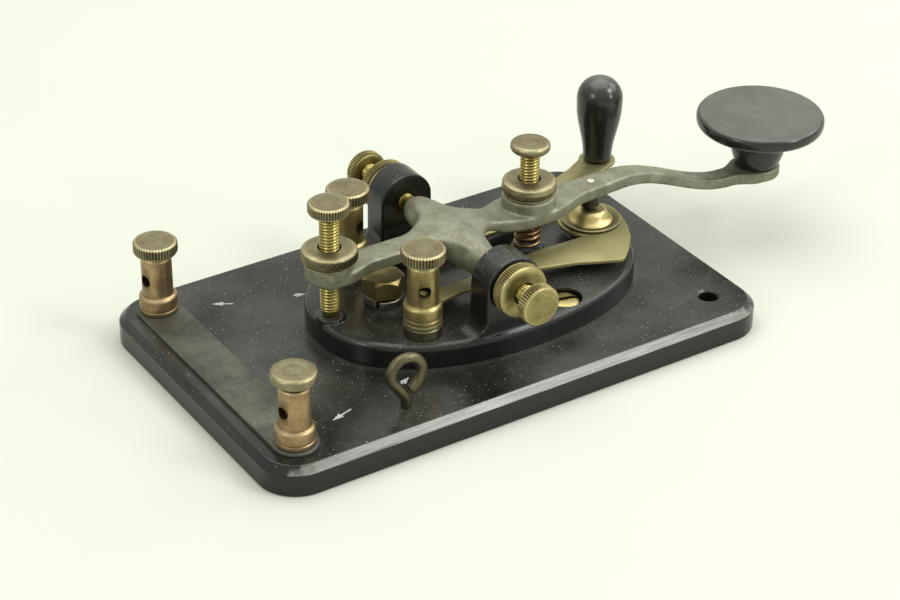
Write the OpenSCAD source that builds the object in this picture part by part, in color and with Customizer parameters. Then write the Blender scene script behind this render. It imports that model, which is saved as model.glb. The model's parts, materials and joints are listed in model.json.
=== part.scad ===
// Straight telegraph key on a moulded rectangular base.
// Origin: centre of the base plate's underside. +X runs towards the operating
// knob, +Y towards the circuit closer's side, +Z up. Millimetres.
// "near" is the -Y side and "far" is the +Y side.

/* [Base plate] */
// Length of the base plate along X
base_l = 133.35; // [125:0.05:150]
// Width of the base plate along Y
base_w = 82.55; // [78:0.05:100]
// Thickness of the base plate
base_t = 7.2; // [6.5:0.1:9]
// Corner radius of the base plate
base_r = 9.5; // [6:0.5:14]
// Chamfer along the base plate's upper edge
base_chamfer = 1.7; // [0.5:0.1:2]
// Distance of the two mounting holes from the YZ plane
mount_x = 56.3; // [54:0.1:58]
// Spacing of the two mounting holes along Y
mount_spacing = 61; // [58:0.5:64]
// Diameter of the mounting holes
mount_d = 4.6; // [3.5:0.1:5.5]

/* [Oval base] */
// Length of the oval base along X
oval_l = 83; // [82:0.1:90]
// Width of the oval base along Y
oval_w = 54.4; // [54:0.1:60]
// Thickness of the oval base
oval_t = 6; // [5:0.1:8]
// Squareness of the oval's outline, where 2 is a true ellipse
oval_power = 2.2; // [2:0.05:2.6]
// Height of the pivot axis above the oval base's top
pivot_h = 11.6; // [11.6:0.1:13]
// Inner faces of the two pivot ears, measured from the key's middle
ear_inner = 19; // [19:0.1:20]
// Thickness of one pivot ear
ear_t = 7.5; // [6.5:0.1:8]

/* [Lever] */
// Width of the lever's front arm
arm_w = 5; // [4:0.1:6]
// Thickness of the lever's arms
arm_t = 3.1; // [2.5:0.1:3.5]
// Height that the front arm drops towards the knob
arm_drop = 9.8; // [9:0.1:10]
// Diameter of the operating knob
knob_d = 31.75; // [28:0.25:36]
// Gap between the contacts at rest
contact_gap = 0.55; // [0.3:0.05:0.8]

/* [Screws] */
// Outer diameter of the adjusting screws' thread
thread_d = 4.75; // [4.5:0.05:5]
// Outer diameter of the thread of the binding posts and the small screws
post_thread_d = 4.1; // [3.5:0.1:4.2]
// Diameter of the lock nuts
nut_d = 13; // [12:0.1:14]
// Diameter of the holes for the wires in the binding posts
wire_hole_d = 2.9; // [2:0.1:3]

/* [Hidden] */
$fn = 64;
play = 0.05;            // radial clearance of a thread or a pin in its hole
thin = 0.1;             // gap between stacked pieces that turn
far_z = 100;            // longer than anything that it cuts

strap_t = 1;            // sheet metal of all the straps
oval_x = 9.8;           // middle of the oval base
oval_top = base_t + oval_t;
strap_z = oval_top + 2.8;
strap_top = strap_z + strap_t;
pivot_x = 3;
pivot_z = oval_top + pivot_h;

rear_post_x = -57.3;
rear_post_y = 31.8;
key_post_x = -15;
key_post_y = 16.3;
rear_wire_angle = 12;   // direction of the wire holes, from the X axis
key_wire_angle = 64;
rear_foot_z = base_t + strap_t;
anvil_x = 43.4;
closer_knob_x = 63;
closer_knob_y = 24.3;
seat_top = oval_top + 2.4;

// binding post, measured up from the underside of its foot
foot_d = 8.9;
foot_h = 4.6;
post_d = 7.2;
post_h = 14.5;
wire_hole_h = 8.8;
head_z = 15.2;
head_t = 3.1;
head_d = 10.3;
stem_tip_h = wire_hole_h + wire_hole_d / 2 + 0.25;

// adjusting screws
gap_x = -29.6;
gap_boss_r = 5.7;
gap_boss_z = [24, 28.3];
gap_pad_t = 1.2;        // moulded stop pad under the gap screw's tip
gap_head_z = [40.8, 43.6];
spring_x = 24.9;
spring_boss_r = 6.5;
spring_boss_z = [25.5, 30];
spring_head_z = [40.9, 43.4];
spring_top = 24.3;
spring_pilot_d = 2.9;
head_grip = 1.4;        // depth of a stem inside its knurled head
nut_t = 3.7;
lip_t = 0.7;
pivot_tip_d = 3;
pivot_tip_y = 14.6;
pivot_shoulder_y = 18.6;
pivot_head_y = [34, 37];
pivot_far_extra = 2;    // the far pivot screw is longer
trunnion_r = 4.3;
trunnion_y = 17.8;
bushing_d = 7.6;

// nuts under the base plate
recess_h = 4.6;
recess_d = 12;
small_nut_af = 8.7;
small_nut_t = 3;
washer_t = 0.5;
stud_end_z = 0.9;
bolt_x = -15.4;
bolt_d = 5;
bolt_af = 8.9;
bolt_turn = 39;
lock_washer_t = 2.7;
sub_screw_x = 21;
sub_screw_y = 21;
sub_head_z = [11, 12.9];

// the lever's front arm
bend_x = [50.5, 85.5];
tab_x = 94.8;
tab_r = 5.9;
tab_top = 18;
contact_x = 42.9;
contact_d = 4.95;
rivet_head_d = 3.8;
anvil_top = 20.4;
rivet_d = 2.8;
contact_seat = arm_top(contact_x) - arm_t + 0.6;   // seat of the contact in the lever

stud_places = [
    [rear_post_x, -rear_post_y], [rear_post_x, rear_post_y],
    [key_post_x, -key_post_y], [key_post_x, key_post_y],
    [sub_screw_x, -sub_screw_y], [sub_screw_x, sub_screw_y],
    [anvil_x, 0]
];

// ---------------------------------------------------------------- helpers

// points of an arc about c from angle a0 to a1 in n steps
function arc(c, r, a0, a1, n) =
    [for (i = [0:n]) c + r * [cos(a0 + (a1 - a0) * i / n), sin(a0 + (a1 - a0) * i / n)]];

// smooth step from 0 to 1 while x goes from a to b
function ease(x, a, b) =
    x <= a ? 0 : x >= b ? 1 : (1 - cos(180 * (x - a) / (b - a))) / 2;

// upper side of the lever's arms: level, raised at the hub, down to the tab
function arm_top(x) =
    27 + 0.8 * ease(x, 30, 50) + 1.5 * (ease(x, -10, -2) - ease(x, 9, 16))
    - arm_drop * ease(x, bend_x[0], bend_x[1]);

// vertical cylinder between two heights
module rod(d, z) {
    translate([0, 0, z[0]]) cylinder(d = d, h = z[1] - z[0]);
}

// vertical hole right through everything
module through(d) {
    translate([0, 0, -far_z / 2]) cylinder(d = d, h = far_z);
}

// hexagonal prism, af across its flats
module hexagon(af, z) {
    translate([0, 0, z[0]]) cylinder(d = af / cos(30), h = z[1] - z[0], $fn = 6);
}

// places its children on the pivot axis so that +Z points out of the ear
module on_pivot(side) {
    translate([pivot_x, 0, pivot_z]) rotate([-90 * side, 0, 0]) children();
}

// disc with chamfered rims
module chamfered_disc(d, z, c) {
    rotate_extrude()
        polygon([[0, z[0]], [d / 2 - c, z[0]], [d / 2, z[0] + c],
                 [d / 2, z[1] - c], [d / 2 - c, z[1]], [0, z[1]]]);
}

// knurled head of a screw, hollow below for the end of its stem
module screw_head(d, z, stem_d) {
    difference() {
        chamfered_disc(d, z, 0.4);
        rod(stem_d + 2 * play, [z[0] - 1, z[0] + head_grip + thin]);
    }
}

// lock nut with a thin smooth lip below its knurled band
module lock_nut(z) {
    difference() {
        union() {
            rod(nut_d - 0.6, [z, z + lip_t]);
            chamfered_disc(nut_d, [z + lip_t, z + nut_t], 0.5);
        }
        through(thread_d + 2 * play);
    }
}

// ------------------------------------------------------------ base plate

module rounded_plate(l, w, t, r, c) {
    straight = t - c;
    for (s = [0, 1])
        rotate([90, 0, 90 * s])
            translate([0, 0, -(s == 0 ? w : l) / 2 + r])
                linear_extrude((s == 0 ? w : l) - 2 * r)
                    polygon([[-(s == 0 ? l : w) / 2, 0], [(s == 0 ? l : w) / 2, 0],
                             [(s == 0 ? l : w) / 2, straight],
                             [(s == 0 ? l : w) / 2 - c, t],
                             [-(s == 0 ? l : w) / 2 + c, t],
                             [-(s == 0 ? l : w) / 2, straight]]);
    for (x = [-1, 1], y = [-1, 1])
        translate([x * (l / 2 - r), y * (w / 2 - r), 0]) {
            cylinder(r = r, h = straight);
            translate([0, 0, straight]) cylinder(r1 = r, r2 = r - c, h = c);
        }
}

module base_plate() {
    color("#1d1e1c") difference() {
        rounded_plate(base_l, base_w, base_t, base_r, base_chamfer);
        for (p = stud_places) translate(p) {
            through(post_thread_d + 2 * play);
            rod(recess_d, [-1, recess_h]);
        }
        translate([bolt_x, 0, 0]) {
            through(bolt_d + 2 * play);
            rod(recess_d + 4, [-1, recess_h]);
        }
        for (y = [-1, 1]) translate([mount_x, y * mount_spacing / 2, 0]) {
            through(mount_d);
            translate([0, 0, base_t - 0.5]) cylinder(d1 = mount_d, d2 = mount_d + 1, h = 0.5);
        }
        translate([eye_x, eye_y, 0]) rod(eye_wire_d + 2 * play, [2.9, base_t + 1]);
    }
}

// ---------------------------------------------------------- binding posts

// post with its foot and stud; the wire hole is turned by wire_angle
module binding_post(foot_z, wire_angle) {
    translate([0, 0, foot_z]) difference() {
        union() {
            chamfered_disc(foot_d, [0, foot_h], 0.7);
            cylinder(d = post_d, h = post_h);
            rod(post_thread_d, [stud_end_z - foot_z, 1]);
        }
        translate([0, 0, wire_hole_h]) rotate([90, 0, wire_angle + 90])
            cylinder(d = wire_hole_d, h = 2 * post_d, center = true);
        rod(post_thread_d + 2 * play, [wire_hole_h, far_z]);
    }
}

module thumb_stem(foot_z) {
    color("#b59a4c") rod(post_thread_d, [foot_z + stem_tip_h, foot_z + head_z + head_grip]);
}

module thumb_head(foot_z) {
    color("#7f6f4d")
        screw_head(head_d, [foot_z + head_z, foot_z + head_z + head_t], post_thread_d);
}

module rear_place(side) {
    translate([rear_post_x, side * rear_post_y, 0]) children();
}

module key_place(side) {
    translate([key_post_x, side * key_post_y, 0]) children();
}

module rear_post(side) {
    color("#96785a") rear_place(side) binding_post(rear_foot_z, rear_wire_angle);
}

module key_post(side) {
    color("#8d7a4f") key_place(side) binding_post(strap_top, -side * key_wire_angle);
}

module rear_strap() {
    color("#4a4c44") translate([0, 0, base_t]) linear_extrude(strap_t) difference() {
        union() {
            translate([rear_post_x - 5.3, -rear_post_y]) square([10.6, 2 * rear_post_y]);
            for (y = [-1, 1]) translate([rear_post_x, y * rear_post_y]) circle(5.3);
        }
        for (y = [-1, 1]) translate([rear_post_x, y * rear_post_y])
            circle(d = post_thread_d + 2 * play);
    }
}

module post_spacers() {
    color("#8a7d52") for (side = [-1, 1]) key_place(side) difference() {
        rod(9.1, [oval_top, strap_z]);
        through(post_thread_d + 2 * play);
    }
}

// -------------------------------------------------------------- oval base

function oval_point(a) = [
    oval_l / 2 * sign(cos(a)) * pow(abs(cos(a)), 2 / oval_power),
    oval_w / 2 * sign(sin(a)) * pow(abs(sin(a)), 2 / oval_power)
];

// pivot ear: a round-topped upright whose feet flare into the oval
module ear(side) {
    ear_r = 7;
    flare = 4;
    translate([pivot_x, side * (ear_inner + ear_t / 2), 0]) rotate([90, 0, 0])
        linear_extrude(ear_t, center = true) {
            translate([0, pivot_z]) circle(ear_r);
            translate([-ear_r, oval_top - 1]) square([2 * ear_r, pivot_z - oval_top + 1]);
            for (s = [-1, 1]) difference() {
                translate([s > 0 ? ear_r : -ear_r - flare, oval_top - 1])
                    square([flare, flare + 1]);
                translate([s * (ear_r + flare), oval_top + flare]) circle(flare);
            }
        }
}

module oval_base() {
    color("#20211f") difference() {
        union() {
            translate([oval_x, 0, base_t]) linear_extrude(oval_t)
                polygon([for (i = [0:71]) oval_point(5 * i)]);
            for (side = [-1, 1]) ear(side);
            translate([gap_x, 0, 0]) rod(6.6, [oval_top - 1, oval_top + gap_pad_t]);
            translate([spring_x, 0, 0]) rod(8.2, [oval_top - 1, seat_top]);
            translate([anvil_x, 0, 0]) rod(11, [oval_top - 1, strap_z]);
        }
        for (side = [-1, 1]) {
            on_pivot(side) rod(bushing_d + 2 * play, [ear_inner - 1, far_z]);
            key_place(side) through(post_thread_d + 2 * play);
            translate([sub_screw_x, side * sub_screw_y, 0]) {
                through(post_thread_d + 2 * play);
                rod(8.4, [sub_head_z[0], far_z]);
            }
        }
        translate([bolt_x, 0, 0]) through(bolt_d + 2 * play);
        translate([anvil_x, 0, 0]) through(post_thread_d + 2 * play);
        link_space(0.2);
    }
}

// the pivot link's outline, grown by g: a strip under the oval base and a
// riser inside the far ear
link_w = 4;
link_t = 0.8;
module link_space(g) {
    run = [pivot_x - key_post_x, ear_inner + ear_t / 2 - key_post_y];
    translate([0, 0, base_t - g]) linear_extrude(link_t + 2 * g)
        translate([key_post_x, key_post_y]) rotate(atan2(run[1], run[0])) {
            translate([0, -link_w / 2 - g]) square([norm(run), link_w + 2 * g]);
            circle(d = link_w + 4 + 2 * g);
        }
    translate([pivot_x - link_w / 2 - g, ear_inner + ear_t / 2 - link_t / 2 - g, base_t - g])
        cube([link_w + 2 * g, link_t + 2 * g, pivot_z - bushing_d / 2 - base_t + 2 * g]);
}

module pivot_link() {
    color("#b08d4a") difference() {
        link_space(0);
        key_place(1) through(post_thread_d + 2 * play);
        on_pivot(1) rod(bushing_d + 2 * play, [0, far_z]);
    }
}

module pivot_bushings() {
    color("#b08d4a") for (side = [-1, 1]) on_pivot(side) difference() {
        rod(bushing_d, [ear_inner, ear_inner + ear_t]);
        through(thread_d + 2 * play);
    }
}

// ---------------------------------------------------------------- screws

module sub_base_screws() {
    color("#a88a45") for (side = [-1, 1])
        translate([sub_screw_x, side * sub_screw_y, 0]) difference() {
            union() {
                chamfered_disc(7.4, sub_head_z, 0.4);
                rod(post_thread_d, [stud_end_z, sub_head_z[0] + 1]);
            }
            rotate(-12) translate([-5, -0.6, sub_head_z[1] - 1]) cube([10, 1.2, 2]);
        }
}

module hex_bolt() {
    head = [oval_top + lock_washer_t, oval_top + lock_washer_t + 4.5];
    color("#8f7a3c") translate([bolt_x, 0, 0]) {
        intersection() {
            rotate(bolt_turn) hexagon(bolt_af, head);
            chamfered_disc(bolt_af / cos(30) + 0.4, [head[0] - 2, head[1]], 1.1);
        }
        rod(bolt_d, [stud_end_z, head[0] + 1]);
    }
}

// lock washer, whose split faces the near rear corner
module split_lock_washer() {
    color("#5f5433") translate([bolt_x, 0, oval_top]) difference() {
        rod(9.2, [0, lock_washer_t]);
        through(bolt_d + 2 * play);
        rotate(222) translate([0, -0.5, -1]) cube([8, 1, 5]);
    }
}

module hex_bolt_nut() {
    color("#8f7a3c") translate([bolt_x, 0, 0]) difference() {
        rotate(bolt_turn) hexagon(bolt_af, [recess_h - 3.4, recess_h]);
        through(bolt_d + 2 * play);
    }
}

module stud_washers() {
    color("#8f8f88") for (p = stud_places) translate(p) difference() {
        rod(9.6, [recess_h - washer_t, recess_h]);
        through(post_thread_d + 2 * play);
    }
}

module stud_nuts() {
    nut_top = recess_h - washer_t;
    color("#a88a45") for (p = stud_places) translate(p) difference() {
        hexagon(small_nut_af, [nut_top - small_nut_t, nut_top]);
        through(post_thread_d + 2 * play);
    }
}

// -------------------------------------------------------- straps and anvil

// fixed strap from the near key post to the pad under the anvil
module contact_strap() {
    color("#8c8a5e") translate([0, 0, strap_z]) linear_extrude(strap_t) difference() {
        union() {
            translate([key_post_x, -key_post_y]) circle(4.4);
            polygon([[-10.9, -14.7], [-9.6, -13], [-1.4, -11.3], [20.5, -12.2], [29.3, -14.9],
                     [37.8, -18.8], [39.2, -19.1], [40.5, -18.4], [43.9, -15.1], [47, -11.5],
                     [49.2, -7.5], [50.8, -3.5], [anvil_x, 0], [39.2, -5.7], [33.5, -5.5],
                     [25, -5.1], [3.2, -7], [-5.2, -6.9], [-11, -9], [-16, -12.2],
                     [-15, -16.3]]);
            translate([anvil_x, 0]) circle(8);
        }
        translate([key_post_x, -key_post_y]) circle(d = post_thread_d + 2 * play);
        translate([anvil_x, 0]) circle(d = post_thread_d + 2 * play);
    }
}

module anvil_washer() {
    color("#9a8c55") translate([anvil_x, 0, 0]) difference() {
        rod(15, [strap_top, strap_top + 0.8]);
        through(post_thread_d + 2 * play);
    }
}

module anvil() {
    bottom = strap_top + 0.8;
    color("#a8904a") translate([anvil_x, 0, 0]) {
        rotate_extrude()
            polygon(concat([[0, bottom], [6, bottom], [6, bottom + 0.7]],
                           [for (i = [1:6]) [2.8 + 3.2 * cos(15 * i),
                                             bottom + 0.7 + (anvil_top - bottom - 0.7) * sin(15 * i)]],
                           [[0, anvil_top]]));
        rod(post_thread_d, [stud_end_z, bottom + 1]);
    }
}

// circuit closer's arm, which turns about the far key post
module closer_arm() {
    slack = 0.05;
    color("#8c8a5e") translate([0, 0, strap_z + slack])
        linear_extrude(strap_t - 2 * slack) difference() {
            union() {
                translate([key_post_x, key_post_y]) circle(5);
                polygon([[-12, 20], [-9.6, 17], [-1.4, 14.6], [22, 14.2], [40, 18.4],
                         [48.6, 21.7], [54.2, 23.9], [59.5, 26.4],
                         [closer_knob_x, closer_knob_y], [closer_knob_x + 1.6, closer_knob_y - 4.3],
                         [25, 7.2], [3.2, 7.4], [-5.2, 9.2], [-11, 12.4], [-15, 13]]);
                translate([closer_knob_x, closer_knob_y]) circle(4.6);
            }
            translate([key_post_x, key_post_y]) circle(d = post_thread_d + 2 * play);
            translate([closer_knob_x, closer_knob_y]) circle(d = 3.6);
        }
}

closer_knob_top = 39.9;
module closer_knob() {
    foot = strap_top + thin;
    color("#161715") translate([closer_knob_x, closer_knob_y, 0]) difference() {
        rotate_extrude()
            polygon(concat([[0, foot], [3, foot], [3.6, foot + 0.6]],
                           [for (i = [1:7]) [3.6 + 2.15 * ease(i, 0, 8), foot + 0.6 + i * 1.9]],
                           arc([0, closer_knob_top - 5.75], 5.75, 0, 90, 12)));
        rod(3.5, [foot - 1, foot + 8]);
    }
}

module closer_knob_screw() {
    color("#a88a45") translate([closer_knob_x, closer_knob_y, 0]) difference() {
        union() {
            chamfered_disc(6.4, [strap_z - 1.8, strap_z], 0.4);
            rod(3.4, [strap_z - 1, strap_top + thin + 7]);
        }
        translate([-5, -0.5, strap_z - 2]) cube([10, 1, 0.9]);
    }
}

// ----------------------------------------------------------------- spring

// compression spring: a conical helix with closed end turns
spring_turns = 5;
spring_wire = 1;
spring_steps = 14;      // rings in each turn
spring_sides = 8;

function spring_r(t) = 3 - 0.6 * t;
function spring_z(t) = seat_top + spring_wire / 2
    + (spring_top - seat_top - spring_wire) * (ease(t, 0, 0.5) + ease(t, 0.5, 1)) / 2 * 0.35
    + (spring_top - seat_top - spring_wire) * t * 0.65;
function spring_ring(t) =
    let (a = 360 * spring_turns * t, r = spring_r(t), z = spring_z(t))
    [for (k = [0:spring_sides - 1])
        let (b = -360 * k / spring_sides, q = r + spring_wire / 2 * cos(b))
        [q * cos(a), q * sin(a), z + spring_wire / 2 * sin(b)]];

module spring() {
    n = spring_turns * spring_steps;
    points = [for (i = [0:n]) each spring_ring(i / n)];
    sides = [for (i = [0:n - 1], k = [0:spring_sides - 1])
        let (j = (k + 1) % spring_sides, p = i * spring_sides, q = p + spring_sides)
        [p + k, p + j, q + j, q + k]];
    caps = [[for (k = [spring_sides - 1:-1:0]) k],
            [for (k = [0:spring_sides - 1]) n * spring_sides + k]];
    color("#7a4a30") translate([spring_x, 0, 0])
        polyhedron(points = points, faces = concat(sides, caps), convexity = 10);
}

// --------------------------------------------------------------- eye hook

eye_x = -29.5;
eye_y = -32.2;
eye_wire_d = 2.5;
eye_centre = [0.1, 16.2];   // middle of the ring, beside and above the shank's foot
eye_r = 3.8;
eye_end_angle = -25;        // the ring's free side
eye_neck_angle = 214;       // where the ring leaves for the shank
eye_tail = 3.6;             // straight end of the free side
shank_top = [0, 9.4];

function on_ring(a) = eye_centre + eye_r * [cos(a), sin(a)];

// straight piece of wire between two points of the hook's plane
module wire(a, b) {
    run = b - a;
    translate([a[0], 0, a[1]]) rotate([0, 90 - atan2(run[1], run[0]), 0])
        cylinder(d = eye_wire_d, h = norm(run));
}

// open screw eye whose ring is drawn down to its shank like a drop
module eye_hook() {
    neck = on_ring(eye_neck_angle);
    end = on_ring(eye_end_angle);
    tip = end + eye_tail * [sin(eye_end_angle), -cos(eye_end_angle)];
    color("#8a6e42") translate([eye_x, eye_y, 0]) rotate(-4) {
        wire([0, 3], shank_top);
        wire(shank_top, neck);
        wire(end, tip);
        translate([eye_centre[0], 0, eye_centre[1]]) rotate([90, 0, 0]) rotate(eye_end_angle)
            rotate_extrude(angle = eye_neck_angle - eye_end_angle)
                translate([eye_r, 0]) circle(d = eye_wire_d);
        for (p = [shank_top, neck, end])
            translate([p[0], 0, p[1]]) sphere(d = eye_wire_d + 0.1);
    }
}

// ------------------------------------------------------------------ lever

lever_rear = gap_x - gap_boss_r + 1;
lever_steps = 66;

module lever_plan() {
    half = arm_w / 2;
    blend_r = 6;
    translate([gap_x, -half - 0.2]) square([pivot_x - gap_x, 2 * half + 0.4]);
    translate([pivot_x, -half]) square([tab_x - pivot_x, 2 * half]);
    for (sx = [0, 1], sy = [0, 1])
        translate([pivot_x, 0]) mirror([sx, 0]) mirror([0, sy])
            translate([trunnion_r, half]) difference() {
                translate([-1, -1]) square(blend_r + 1);
                translate([blend_r, blend_r]) circle(blend_r);
            }
    for (s = [-1, 1]) {
        translate([gap_x, 0]) polygon([[3, s * 5.2], [11, s * half], [0, 0]]);
        translate([spring_x, 0]) polygon([[3, s * 5.7], [15, s * half], [0, 0]]);
        translate([spring_x, 0]) polygon([[-3, s * 5.7], [-12, s * half], [0, 0]]);
        translate([tab_x, 0]) polygon([[-3, s * 5.3], [-10, s * half], [0, 0]]);
    }
    translate([tab_x, 0]) circle(tab_r);
    translate([contact_x, 0]) circle(3.4);
}

module lever_side() {
    xs = [for (i = [0:lever_steps])
        lever_rear + (tab_x + tab_r + 1 - lever_rear) * i / lever_steps];
    rotate([90, 0, 0]) linear_extrude(30, center = true)
        polygon(concat([for (x = xs) [x, arm_top(x)]],
                       [for (i = [lever_steps:-1:0]) [xs[i], arm_top(xs[i]) - arm_t]]));
}

module trunnion() {
    corner = 1.8;
    rotate([90, 0, 0]) rotate_extrude()
        polygon(concat(arc([trunnion_r - corner, trunnion_y - corner], corner, 90, 0, 6),
                       arc([trunnion_r - corner, corner - trunnion_y], corner, 0, -90, 6),
                       [[0, -trunnion_y], [0, trunnion_y]]));
}

module lever() {
    color("#8d8f7c") difference() {
        union() {
            intersection() {
                linear_extrude(far_z) lever_plan();
                lever_side();
            }
            translate([pivot_x, 0, pivot_z]) trunnion();
            translate([gap_x, 0, 0]) rod(2 * gap_boss_r, gap_boss_z);
            translate([spring_x, 0, 0]) rod(2 * spring_boss_r, spring_boss_z);
        }
        translate([gap_x, 0, 0]) through(thread_d + 2 * play);
        translate([spring_x, 0, 0]) {
            through(thread_d + 2 * play);
            rod(2 * spring_r(1) + spring_wire + 0.6, [seat_top, spring_top + thin]);
        }
        translate([contact_x, 0, 0]) {
            through(rivet_d + 2 * play);
            rod(contact_d + 2 * play, [seat_top, contact_seat]);
            rod(rivet_head_d + 2 * play, [arm_top(contact_x), far_z]);
        }
        translate([tab_x, 0, 0]) through(post_thread_d + 2 * play);
        for (side = [-1, 1])
            on_pivot(side) rod(pivot_tip_d + 2 * play, [pivot_tip_y - 0.4, far_z]);
    }
}

module upper_contact() {
    over = arm_top(contact_x) + play;
    color("#6f6d5c") translate([contact_x, 0, 0]) {
        chamfered_disc(contact_d, [anvil_top + contact_gap, contact_seat - play], 0.6);
        rod(rivet_d, [contact_seat - 1, over + 0.5]);
        chamfered_disc(rivet_head_d, [over, over + 0.9], 0.3);
    }
}

// operating knob: a flat disc on a slim skirt
module operating_knob() {
    top = tab_top + 14;
    rim_r = 1.6;
    rim = [knob_d / 2 - rim_r, top - rim_r];
    skirt = [[5.4, 0], [5.9, 1.4], [6.5, 3.2], [6.9, 4.9], [7.2, 7]];
    flare = [rim[0] - 0.9 - skirt[4][0], rim[1] - rim_r + 0.1 - tab_top - skirt[4][1]];
    color("#171816") translate([tab_x, 0, 0]) difference() {
        rotate_extrude()
            polygon(concat([[0, tab_top]],
                           [for (p = skirt) [p[0], tab_top + p[1]]],
                           [for (i = [1:6]) [skirt[4][0] + flare[0] * (1 - cos(15 * i)),
                                             tab_top + skirt[4][1] + flare[1] * sin(15 * i)]],
                           arc(rim, rim_r, -80, 90, 10),
                           [[0, top]]));
        rod(post_thread_d + 2 * play, [tab_top - 1, tab_top + 8.2]);
    }
}

module knob_screw() {
    under = tab_top - arm_t;
    color("#8a8a80") translate([tab_x, 0, 0]) difference() {
        union() {
            chamfered_disc(7, [under - 1, under], 0.3);
            rod(post_thread_d, [under - 1, tab_top + 8]);
        }
        translate([-5, -0.4, under - 1.2]) cube([10, 0.8, 0.75]);
    }
}

// -------------------------------------------- adjusting and pivot screws

module gap_place() {
    translate([gap_x, 0, 0]) children();
}

module spring_place() {
    translate([spring_x, 0, 0]) children();
}

// the gap screw's tip is chamfered and stands on the stop pad
module gap_screw_stem() {
    tip = oval_top + gap_pad_t + thin;
    chamfer = 1.8;
    color("#c2a64e") gap_place() {
        rod(thread_d, [tip + chamfer, gap_head_z[0] + head_grip]);
        translate([0, 0, tip]) cylinder(d1 = 3.3, d2 = thread_d, h = chamfer);
    }
}

module gap_screw_head() {
    color("#7f7048") gap_place() screw_head(9.6, gap_head_z, thread_d);
}

module gap_lock_nut() {
    color("#7f7048") gap_place() lock_nut(gap_boss_z[1] + thin);
}

module spring_screw_stem() {
    color("#c2a64e") spring_place() {
        rod(thread_d, [spring_top + thin, spring_head_z[0] + head_grip]);
        rod(spring_pilot_d, [spring_top - 3, spring_top + 1]);
    }
}

module spring_screw_head() {
    color("#7f7048") spring_place() screw_head(9.4, spring_head_z, thread_d);
}

module spring_lock_nut() {
    color("#7f7048") spring_place() lock_nut(spring_boss_z[1] + thin);
}

function pivot_head(side) = [for (y = pivot_head_y) y + (side > 0 ? pivot_far_extra : 0)];

module pivot_screw_stem(side) {
    color("#c2a64e") on_pivot(side) {
        rod(thread_d, [pivot_shoulder_y, pivot_head(side)[0] + head_grip]);
        rod(pivot_tip_d, [pivot_tip_y, pivot_shoulder_y + 1]);
    }
}

module pivot_screw_head(side) {
    color("#7f7048") on_pivot(side) screw_head(9.8, pivot_head(side), thread_d);
}

module pivot_lock_nut(side) {
    color("#7f7048") on_pivot(side) lock_nut(ear_inner + ear_t + thin);
}

// --------------------------------------------------------------- assembly

base_plate();
rear_strap();
rear_post(-1);  // rear_post_near
rear_post(1);  // rear_post_far
key_post(-1);  // key_post_near
key_post(1);  // key_post_far
post_spacers();
oval_base();
sub_base_screws();
hex_bolt();
split_lock_washer();
hex_bolt_nut();
stud_washers();
stud_nuts();
pivot_bushings();
pivot_link();
contact_strap();
anvil_washer();
anvil();
spring();
eye_hook();
closer_arm();
closer_knob();
closer_knob_screw();
lever();
upper_contact();
operating_knob();
knob_screw();
gap_screw_stem();
gap_screw_head();
gap_lock_nut();
spring_screw_stem();
spring_screw_head();
spring_lock_nut();
pivot_screw_stem(-1);  // pivot_screw_stem_near
pivot_screw_head(-1);  // pivot_screw_head_near
pivot_lock_nut(-1);  // pivot_lock_nut_near
pivot_screw_stem(1);  // pivot_screw_stem_far
pivot_screw_head(1);  // pivot_screw_head_far
pivot_lock_nut(1);  // pivot_lock_nut_far
rear_place(-1) thumb_stem(rear_foot_z);  // rear_thumb_stem_near
rear_place(-1) thumb_head(rear_foot_z);  // rear_thumb_head_near
rear_place(1) thumb_stem(rear_foot_z);  // rear_thumb_stem_far
rear_place(1) thumb_head(rear_foot_z);  // rear_thumb_head_far
key_place(-1) thumb_stem(strap_top);  // key_thumb_stem_near
key_place(-1) thumb_head(strap_top);  // key_thumb_head_near
key_place(1) thumb_stem(strap_top);  // key_thumb_stem_far
key_place(1) thumb_head(strap_top);  // key_thumb_head_far
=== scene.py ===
"""Visual model of a straight telegraph key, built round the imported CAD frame.

Shapes are worked out in millimetres, in the frame of the CAD model, and
turned into metres where the meshes are made.
"""
import json
import math

import bpy
import bmesh
from mathutils import Matrix, Vector
from mathutils.geometry import tessellate_polygon


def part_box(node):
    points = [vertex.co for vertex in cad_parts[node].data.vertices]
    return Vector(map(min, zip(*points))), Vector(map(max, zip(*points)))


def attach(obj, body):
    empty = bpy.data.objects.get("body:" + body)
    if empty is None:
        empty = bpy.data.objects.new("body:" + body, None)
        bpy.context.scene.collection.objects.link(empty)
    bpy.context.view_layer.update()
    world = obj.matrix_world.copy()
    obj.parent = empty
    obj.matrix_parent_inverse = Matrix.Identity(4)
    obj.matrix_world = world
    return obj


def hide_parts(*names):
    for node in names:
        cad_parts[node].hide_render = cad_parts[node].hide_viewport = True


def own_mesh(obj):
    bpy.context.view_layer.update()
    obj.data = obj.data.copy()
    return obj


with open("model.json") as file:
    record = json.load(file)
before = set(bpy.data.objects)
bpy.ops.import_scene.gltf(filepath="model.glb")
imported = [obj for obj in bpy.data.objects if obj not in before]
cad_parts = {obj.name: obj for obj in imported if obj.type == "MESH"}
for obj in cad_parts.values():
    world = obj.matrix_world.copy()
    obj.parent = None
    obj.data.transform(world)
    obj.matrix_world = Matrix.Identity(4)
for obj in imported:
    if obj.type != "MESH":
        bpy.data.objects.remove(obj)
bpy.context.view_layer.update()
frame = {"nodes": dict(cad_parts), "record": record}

MM = 0.001
TAU = 2 * math.pi
THREAD_PITCH = 0.79375    # 32 turns an inch
OVAL_POWER = 2.2          # 2 would be an ellipse
POST_HEIGHT = 14.5
OVAL_SCREW_R = 3.7        # head radius of the oval's two screws
LEVER_THICK = 3.1


# ---- measurements

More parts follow.
